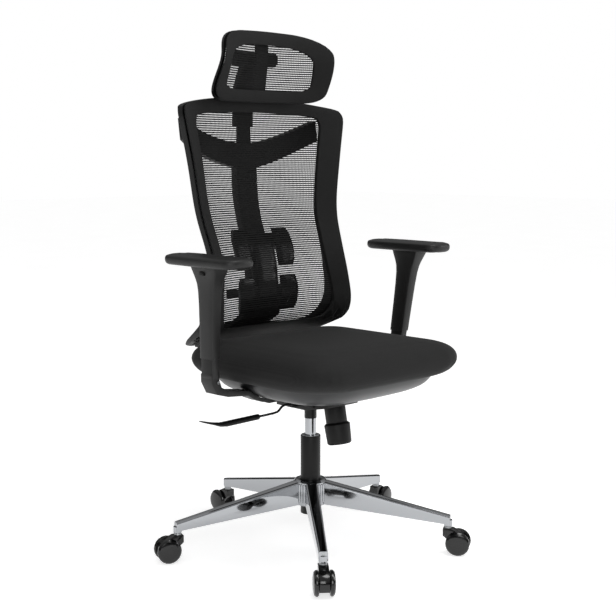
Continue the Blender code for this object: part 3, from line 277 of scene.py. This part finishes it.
def finished(node, material, edge=0.0008, rounds=2, levels=0, angle=32):
    """CAD node with rounded edges and smooth curves, in place of the node."""
    piece = copy_of(node, f"{node}_finished")
    if edge:
        modify(piece, "BEVEL", width=edge, segments=rounds, limit_method="ANGLE", angle_limit=radians(angle),
               use_clamp_overlap=True)
    if levels:
        modify(piece, "SUBSURF", levels=levels, render_levels=levels)
    activate(piece)
    bpy.ops.object.shade_smooth_by_angle(angle=radians(angle))
    put_on(piece, node, material)
    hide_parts(node)
    return piece


def carried(node, material):
    """CAD node that stays as it is, with a better finish."""
    NODES[node].data.materials.clear()
    NODES[node].data.materials.append(material)


# -------------------------------------------------------------------- nets

class Face:
    """Front of a CAD sheet: its outline and its depth, found by looking at it from the front."""

    def __init__(self, node):
        self.tree = BVHTree.FromObject(NODES[node], bpy.context.evaluated_depsgraph_get())
        self.low, self.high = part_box(node)
        self.middle = (self.low.x + self.high.x) / 2

    def hit(self, x, z):
        return self.tree.ray_cast(Vector((x, self.low.y - 0.1, z)), Vector((0, 1, 0)))[0]

    def reach(self, z):
        """Half width of the sheet at a height."""
        near, far = 0.0, self.high.x - self.middle + 0.01
        for _ in range(16):
            trial = (near + far) / 2
            if self.hit(self.middle + trial, z):
                near = trial
            else:
                far = trial
        return near

    def span(self, x):
        """Lowest and highest points of the sheet at a place across it."""
        centre = (self.low.z + self.high.z) / 2
        ends = []
        for end in (self.low.z - 0.01, self.high.z + 0.01):
            near, far = centre, end
            for _ in range(16):
                trial = (near + far) / 2
                if self.hit(x, trial):
                    near = trial
                else:
                    far = trial
            ends.append(near)
        return ends


def strips(name, count, steps):
    """Flat strips side by side over the square -1..1; each is cut into steps along X."""
    bpy.ops.object.select_all(action="DESELECT")
    bpy.ops.mesh.primitive_grid_add(x_subdivisions=steps, y_subdivisions=2 * count - 1, size=2)
    obj = bpy.context.object
    obj.name = name
    bpy.ops.object.mode_set(mode="EDIT")
    bpy.ops.mesh.select_mode(type="FACE")
    bpy.ops.mesh.select_all(action="DESELECT")
    bpy.ops.object.mode_set(mode="OBJECT")
    row = 2 / (2 * count - 1)
    for polygon in obj.data.polygons:
        polygon.select = int((polygon.center.y + 1) / row) % 2 == 1
    bpy.ops.object.mode_set(mode="EDIT")
    bpy.ops.mesh.delete(type="FACE")
    bpy.ops.object.mode_set(mode="OBJECT")
    return obj, row


def laid_on(face, x, z, side):
    """Point on a sheet's front; the side is the way to its middle, for points at its very edge."""
    for back in (0.0, 0.002, 0.006, 0.012):
        found = face.hit(x - side * back, z)
        if found:
            return Vector((x, found.y + SHEET_DEPTH / 2, z))
    return Vector((x, face.high.y, z))


def net(node, name, rib_pitch, rib_height, thread_pitch, thread_width, material):
    """Net on the face of a CAD sheet: stout ribs across it and thin threads up it, in one piece."""
    face = Face(node)
    low, high = face.low.z + NET_MARGIN, face.high.z - NET_MARGIN
    widest = max(face.reach(low + (high - low) * share / 8) for share in range(1, 8))
    rib_count = round((high - low) / rib_pitch)
    pitch = (high - low) / rib_count
    ribs, row = strips(name, rib_count, 40)
    for vertex in ribs.data.vertices:
        strip, edge = divmod(round((vertex.co.y + 1) / row), 2)
        middle = low + (strip + 0.5) * pitch
        z = middle + (edge - 0.5) * rib_height
        x = face.middle + vertex.co.x * (face.reach(middle) - NET_MARGIN)
        vertex.co = laid_on(face, x, z, 1 if x > face.middle else -1)
    modify(ribs, "SOLIDIFY", thickness=YARN_DEPTH, offset=0)
    thread_count = round(2 * widest / thread_pitch)
    threads, row = strips(name + "_threads", thread_count, 56)
    top = face.span(face.middle + 0.85 * widest)[1] - NET_MARGIN
    for vertex in threads.data.vertices:
        strip, edge = divmod(round((vertex.co.y + 1) / row), 2)
        z = low + (vertex.co.x + 1) / 2 * (top - low)
        share = (strip + 0.5) / thread_count * 2 - 1
        x = face.middle + share * (face.reach(z) - NET_MARGIN) + (edge - 0.5) * thread_width
        vertex.co = laid_on(face, x, z, 1 if x > face.middle else -1)
    modify(threads, "SOLIDIFY", thickness=YARN_DEPTH * 0.6, offset=0)
    activate(ribs)
    threads.select_set(True)
    bpy.ops.object.join()
    activate(ribs)
    bpy.ops.object.mode_set(mode="EDIT")
    bpy.ops.mesh.select_all(action="SELECT")
    bpy.ops.mesh.normals_make_consistent(inside=False)
    bpy.ops.object.mode_set(mode="OBJECT")
    put_on(ribs, node, material)
    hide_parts(node)
    return ribs


SHEET_DEPTH = 0.0014
NET_MARGIN = 0.003
YARN_DEPTH = 0.0011


# ----------------------------------------------------------------- cushion

def cushion(material):
    """Moulded foam seat under a knitted cover: the CAD's form with every edge drawn round."""
    piece = copy_of("seat_cushion", "seat_cushion_cover")
    modify(piece, "REMESH", mode="VOXEL", voxel_size=0.006, use_smooth_shade=True)
    modify(piece, "SMOOTH", factor=0.5, iterations=4)
    modify(piece, "SUBSURF", levels=1, render_levels=1)
    activate(piece)
    bpy.ops.object.shade_smooth()
    put_on(piece, "seat_cushion", material)
    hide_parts("seat_cushion")
    return piece


# ------------------------------------------------------------------- stage

def light(name, place, aim, size, power, colour="#ffffff"):
    """Square area light."""
    data = bpy.data.lights.new(name, "AREA")
    data.shape, data.size, data.energy = "SQUARE", size, power
    data.color = linear(colour)[:3]
    lamp = bpy.data.objects.new(name, data)
    lamp.location = place
    lamp.rotation_euler = (Vector(aim) - Vector(place)).to_track_quat("-Z", "Y").to_euler()
    bpy.context.scene.collection.objects.link(lamp)


def studio():
    """Plain pale floor, a pale surround and soft lights."""
    scene = bpy.context.scene
    scene.view_settings.view_transform = "Standard"
    world = bpy.data.worlds.new("studio")
    scene.world = world
    world.use_nodes = True
    tree = world.node_tree
    seen = tree.nodes["Background"]
    seen.inputs["Color"].default_value = (1, 1, 1, 1)
    # The room: white overhead, grey walls and a dark band at the horizon, which the chrome picks up.
    way = add_node(tree, "ShaderNodeTexCoord")
    parts = add_node(tree, "ShaderNodeSeparateXYZ", {"Vector": way.outputs["Generated"]})
    room = add_node(tree, "ShaderNodeValToRGB", {"Fac": parts.outputs["Z"]})
    room.color_ramp.elements[0].position, room.color_ramp.elements[1].position = 0.0, 0.75
    room.color_ramp.elements[0].color = (0.30, 0.30, 0.31, 1)
    room.color_ramp.elements[1].color = (0.9, 0.9, 0.9, 1)
    for height, tone in ((0.10, 0.34), (0.16, 0.06), (0.24, 0.08), (0.32, 0.45)):
        stop = room.color_ramp.elements.new(height)
        stop.color = (tone, tone, tone, 1)
    lit = add_node(tree, "ShaderNodeBackground", {"Color": room.outputs["Color"]}, {"Strength": 0.6})
    path = add_node(tree, "ShaderNodeLightPath")
    both = add_node(tree, "ShaderNodeMixShader", {0: path.outputs["Is Camera Ray"]})
    tree.links.new(lit.outputs["Background"], both.inputs[1])
    tree.links.new(seen.outputs["Background"], both.inputs[2])
    tree.links.new(both.outputs["Shader"], tree.nodes["World Output"].inputs["Surface"])

    bpy.ops.object.select_all(action="DESELECT")
    bpy.ops.mesh.primitive_plane_add(size=40, location=(0, 0, -0.0005))
    floor = bpy.context.object
    floor.name = "floor"
    paper, tree, shader = new_material("matte_white_paper", "#e0e0e0", 0.9)
    mottle(tree, shader, "#dddddd", "#e3e3e3", 0.4)
    shader.inputs["Emission Color"].default_value = (1, 1, 1, 1)
    shader.inputs["Emission Strength"].default_value = 0.66
    floor.data.materials.append(paper)

    light("key", (0.2, -0.9, 3.4), (0, 0, 0.5), 1.4, 40)
    light("front", (-2.4, -2.6, 1.5), (0, 0, 0.6), 1.4, 32)
    light("side", (2.4, -1.8, 1.4), (0, 0, 0.6), 1.2, 20)
    light("rim", (-2.2, 2.2, 2.2), (0, 0, 0.7), 1.2, 3)


# ----------------------------------------------------------- small details

HUB_MIDDLE = Vector((-0.0045, -0.0245, 0.1312))
FLUTE_CIRCLE = 0.0385  # radius of the circle that the flutes stand on
FLUTE_RADIUS = 0.0034
FLUTE_HEIGHT = 0.046
FLUTE_EDGE = 0.0014
FLUTE_TURNS = (-10, 0, 10)  # degrees from the middle of a gap
LEG_COUNT = 5
FIRST_GAP = -93.35     # degrees; the middle of one gap between legs
SCREW_RADIUS = 0.0034
SCREW_HEIGHT = 0.0024
SCREW_RIM = 0.0016     # from the edge to the socket
SOCKET_DEPTH = 0.0012
SCREW_EDGE = 0.0003
SCREW_Y, SCREW_Z = -0.0433, 0.4356  # on the front of each arm bracket


def applied(piece):
    """Put a piece's place, turn and size into its mesh."""
    activate(piece)
    bpy.ops.object.transform_apply(location=True, rotation=True, scale=True)
    return piece


def flutes(material):
    """Three rounded ribs down the hub in each gap between the legs, as one piece."""
    ribs = []
    for gap in range(LEG_COUNT):
        for turn in FLUTE_TURNS:
            angle = radians(FIRST_GAP + 360 / LEG_COUNT * gap + turn)
            place = HUB_MIDDLE + Vector((cos(angle), sin(angle), 0)) * FLUTE_CIRCLE
            bpy.ops.object.select_all(action="DESELECT")
            bpy.ops.mesh.primitive_cylinder_add(vertices=12, radius=FLUTE_RADIUS, depth=FLUTE_HEIGHT,
                                                location=place)
            rib = applied(bpy.context.object)
            modify(rib, "BEVEL", width=FLUTE_EDGE, segments=3, limit_method="ANGLE", angle_limit=radians(50))
            ribs.append(rib)
    activate(ribs[0])
    for rib in ribs[1:]:
        rib.select_set(True)
    bpy.ops.object.join()
    ribs[0].name = "hub_flutes"
    bpy.ops.object.shade_smooth_by_angle(angle=radians(50))
    put_on(ribs[0], "base_star", material)


def screw(name, node, place, facing, material):
    """Pan head with a socket, standing a little proud of a piece's face."""
    bpy.ops.object.select_all(action="DESELECT")
    bpy.ops.mesh.primitive_cylinder_add(vertices=24, radius=SCREW_RADIUS, depth=SCREW_HEIGHT)
    head = bpy.context.object
    bpy.ops.object.mode_set(mode="EDIT")
    bpy.ops.mesh.select_all(action="DESELECT")
    bpy.ops.object.mode_set(mode="OBJECT")
    for face in head.data.polygons:
        face.select = face.normal.z > 0.9
    bpy.ops.object.mode_set(mode="EDIT")
    bpy.ops.mesh.select_mode(type="FACE")
    bpy.ops.mesh.inset(thickness=SCREW_RIM)
    bpy.ops.mesh.extrude_region_move(TRANSFORM_OT_translate={"value": (0, 0, -SOCKET_DEPTH)})
    bpy.ops.object.mode_set(mode="OBJECT")
    head.name = name
    head.location = place
    head.rotation_euler = Vector(facing).to_track_quat("Z", "Y").to_euler()
    applied(head)
    modify(head, "BEVEL", width=SCREW_EDGE, segments=2, limit_method="ANGLE", angle_limit=radians(50))
    activate(head)
    bpy.ops.object.shade_smooth_by_angle(angle=radians(40))
    put_on(head, node, material)


# Points of the pale lines that are painted as highlights on the lumbar paddles.
PAINTED_HIGHLIGHT_PATHS = {"upper": [(0.046, 0.1478, 0.7390), (0.060, 0.1510, 0.7405), (0.0700, 0.1450, 0.7250),
                    (0.0730, 0.1385, 0.7090), (0.0735, 0.1328, 0.6905), (0.0725, 0.1276, 0.6710)],
          "lower": [(0.0720, 0.1213, 0.6310), (0.0718, 0.1198, 0.6160), (0.0690, 0.1190, 0.5980),
                    (0.0640, 0.1195, 0.5800), (0.0540, 0.1205, 0.5680)]}
PAINTED_HIGHLIGHT_RADIUS = 0.0009
PAINTED_HIGHLIGHT_SUNK = 0.0013  # added to each point's Y, which sets the line into the paddles


def piping(material):
    """Thin raised pale line along the paddles of the lumbar support, on the sitter's left: a painted highlight
    on the glossy paddle edges.
    """
    for place, points in PAINTED_HIGHLIGHT_PATHS.items():
        curve = bpy.data.curves.new(f"lumbar_piping_{place}", "CURVE")
        curve.dimensions = "3D"
        curve.bevel_depth, curve.bevel_resolution, curve.use_fill_caps = PAINTED_HIGHLIGHT_RADIUS, 2, True
        line = curve.splines.new("POLY")
        line.points.add(len(points) - 1)
        for point, (x, y, z) in zip(line.points, points):
            point.co = (x, y + PAINTED_HIGHLIGHT_SUNK, z, 1)
        piece = bpy.data.objects.new(f"lumbar_piping_{place}", curve)
        bpy.context.scene.collection.objects.link(piece)
        activate(piece)
        bpy.ops.object.convert(target="MESH")
        bpy.ops.object.shade_smooth_by_angle(angle=radians(40))
        put_on(bpy.context.object, "lumbar_pad", material)


# ------------------------------------------------------------------ pieces

NET_SIZES = (0.0052, 0.0030, 0.0045, 0.0007)  # rib pitch and height, thread pitch and width


def dress():
    """Give every CAD node its finish, or the piece that stands for it."""
    m = make_materials()
    finished("base_star", m["chrome"], 0.0012, 3, angle=25)
    finished("gas_cylinder", m["chrome"], 0.0006)
    finished("gas_tube", m["coated_steel"], 0.0010)
    finished("mechanism_body", m["coated_steel"], 0.0010)
    finished("seat_plate", m["coated_steel"], 0.0008)
    finished("lever_rod", m["coated_steel"], 0, levels=1)
    finished("lever_rocker", m["coated_steel"], 0.0006)
    finished("lever_grip", m["nylon"], 0.0008)
    finished("back_bar", m["coated_steel"], 0.0010)
    finished("back_bar_cover", m["nylon"], 0.0015)
    finished("spring_cup", m["nylon"], 0.0010)
    finished("tension_knob", m["nylon"], 0.0012)
    finished("seat_shell", m["shell"], 0.0010, levels=1)
    for side in ("left", "right"):
        finished(f"arm_bracket_{side}", m["soft"], 0.0020, 3)
        finished(f"arm_sleeve_{side}", m["soft"], 0.0012, 2, levels=1)
        finished(f"arm_pad_{side}", m["soft"], 0.0030, 3, levels=1)
        finished(f"arm_button_{side}", m["nylon"], 0.0006)
    finished("back_frame", m["nylon"], 0.0012, levels=1)
    finished("back_border", m["band"], 0.0020, levels=1)
    finished("back_spine", m["nylon"], 0.0015)
    finished("lumbar_slider", m["nylon"], 0.0010)
    finished("lumbar_pad", m["gloss_nylon"], 0.0015)
    finished("headrest_post", m["nylon"], 0.0015)
    finished("headrest_hinge", m["nylon"], 0.0010)
    finished("headrest_frame", m["nylon"], 0.0010, levels=1)
    finished("headrest_border", m["band"], 0.0020, levels=1)
    for k in range(1, 6):
        finished(f"caster_housing_{k}", m["gloss_nylon"], 0.0008)
        carried(f"caster_stem_{k}", m["steel"])
        for side in ("left", "right"):
            finished(f"caster_wheel_{k}_{side}", m["gloss_nylon"], 0.0008)
    for node in ("guide_bush", "gas_rod", "tube_foot_clip", "tilt_pin", "tension_spring", "tension_bolt"):
        carried(node, m["steel"])
    carried("seat_board", m["plywood"])
    flutes(m["chrome"])
    # Pale lines on the lumbar paddles: painted highlight.
    piping(m["piping"])
    for side, across, lean in (("right", -0.3036, -0.04), ("left", 0.2946, 0.04)):
        screw(f"bracket_screw_{side}", f"arm_bracket_{side}", (across, SCREW_Y, SCREW_Z), (lean, -0.98, 0.17),
              m["steel"])
    back_net = net("back_mesh", "back_net", *NET_SIZES, m["yarn"])
    head_net = net("headrest_mesh", "headrest_net", *NET_SIZES, m["yarn"])
    cushion(m["cover"])


place_camera()
dress()
studio()
bpy.context.view_layer.update()
